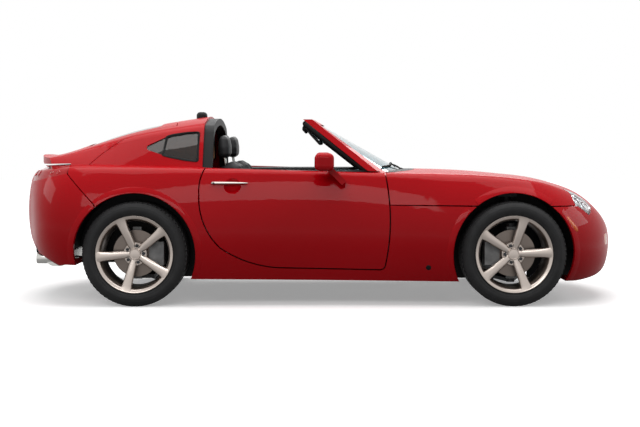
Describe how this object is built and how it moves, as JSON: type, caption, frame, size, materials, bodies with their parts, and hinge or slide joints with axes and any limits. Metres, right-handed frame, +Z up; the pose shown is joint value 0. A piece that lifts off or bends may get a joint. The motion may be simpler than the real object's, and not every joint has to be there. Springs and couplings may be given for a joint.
{
  "type": "sports coupe",
  "caption": "Low two-seat targa coupe on wide alloy wheels, with opening doors, front-hinged hood and rear hatch, steered front wheels and a full cabin.",
  "frame": {"origin": "centre of the bounding box at ground level under the tyres", "axes": "+X forward, +Y to the car's left, +Z up"},
  "size_m": [3.9924, 1.985, 1.263],
  "materials": {
    "paint": "gloss",
    "glass": "clear",
    "tinted_glass": "tinted",
    "tyre": "matt",
    "alloy": "satin",
    "steel": "satin",
    "cast": "matt",
    "black_plastic": "matt",
    "chrome": "polished",
    "lens": "clear",
    "red_lens": "gloss",
    "amber_lens": "gloss",
    "leather": "satin",
    "cabin_plastic": "matt"
  },
  "bodies": {
    "body": {"front_bumper": "paint", "front_wings": "paint", "rear_bumper": "paint", "body_side_right": "paint", "body_side_left": "paint", "roof": "paint", "screen_frame": "paint", "turn_lamps": "amber_lens", "headlamps": "lens", "grille": "black_plastic", "tail_lamps": "red_lens", "quarter_windows": "tinted_glass", "windscreen": "glass", "cowl": "black_plastic", "door_hinges": "steel", "rear_uprights": "cast", "front_suspension": "steel", "rear_suspension": "steel", "floor_pan": "steel", "front_beam": "steel", "engine": "cast", "driveline": "steel", "exhaust": "steel", "wheel_liners": "black_plastic", "seats": "leather", "roof_hoop": "black_plastic", "dashboard": "cabin_plastic", "steering_wheel": "leather", "antenna": "black_plastic"},
    "hood": {"hood": "paint"},
    "hatch": {"hatch": "paint", "hatch_glass": "tinted_glass"},
    "door_right": {"door_right": "paint", "door_trim_right": "cabin_plastic", "mirror_right": "paint", "handle_right": "chrome"},
    "door_left": {"door_left": "paint", "door_trim_left": "cabin_plastic", "mirror_left": "paint", "handle_left": "chrome"},
    "knuckle_right": {"front_knuckle_right": "cast"},
    "knuckle_left": {"front_knuckle_left": "cast"},
    "wheel_front_right": {"tyre_front_right": "tyre", "rim_front_right": "alloy", "disc_front_right": "steel"},
    "wheel_front_left": {"tyre_front_left": "tyre", "rim_front_left": "alloy", "disc_front_left": "steel"},
    "wheel_rear_right": {"tyre_rear_right": "tyre", "rim_rear_right": "alloy", "disc_rear_right": "steel"},
    "wheel_rear_left": {"tyre_rear_left": "tyre", "rim_rear_left": "alloy", "disc_rear_left": "steel"}
  },
  "joints": [
    {"name": "hood_hinge", "type": "hinge", "parent": "body", "child": "hood", "pos_m": [1.79, 0, 0.64], "axis": [0, 1, 0], "range_deg": [0, 50]},
    {"name": "hatch_hinge", "type": "hinge", "parent": "body", "child": "hatch", "pos_m": [-1.01, 0, 1.14], "axis": [0, 1, 0], "range_deg": [0, 65]},
    {"name": "door_right_hinge", "type": "hinge", "parent": "body", "child": "door_right", "pos_m": [0.387, -0.858, 0.47], "axis": [0, 0, 1], "range_deg": [0, 65]},
    {"name": "door_left_hinge", "type": "hinge", "parent": "body", "child": "door_left", "pos_m": [0.387, 0.858, 0.47], "axis": [0, 0, -1], "range_deg": [0, 65]},
    {"name": "steer_left", "type": "hinge", "parent": "body", "child": "knuckle_left", "pos_m": [1.236, 0.708, 0.334], "axis": [0, 0, 1], "range_deg": [-33, 33]},
    {"name": "steer_right", "type": "hinge", "parent": "body", "child": "knuckle_right", "pos_m": [1.236, -0.708, 0.334], "axis": [0, 0, 1], "range_deg": [-33, 33]},
    {"name": "spin_front_right", "type": "hinge", "parent": "knuckle_right", "child": "wheel_front_right", "pos_m": [1.236, -0.768, 0.334], "axis": [0, 1, 0], "continuous": true},
    {"name": "spin_front_left", "type": "hinge", "parent": "knuckle_left", "child": "wheel_front_left", "pos_m": [1.236, 0.768, 0.334], "axis": [0, 1, 0], "continuous": true},
    {"name": "spin_rear_right", "type": "hinge", "parent": "body", "child": "wheel_rear_right", "pos_m": [-1.18, -0.778, 0.334], "axis": [0, 1, 0], "continuous": true},
    {"name": "spin_rear_left", "type": "hinge", "parent": "body", "child": "wheel_rear_left", "pos_m": [-1.18, 0.778, 0.334], "axis": [0, 1, 0], "continuous": true}
  ],
  "couplings": [
    {"joint": "steer_right", "follows": "steer_left", "ratio": 1}
  ]
}
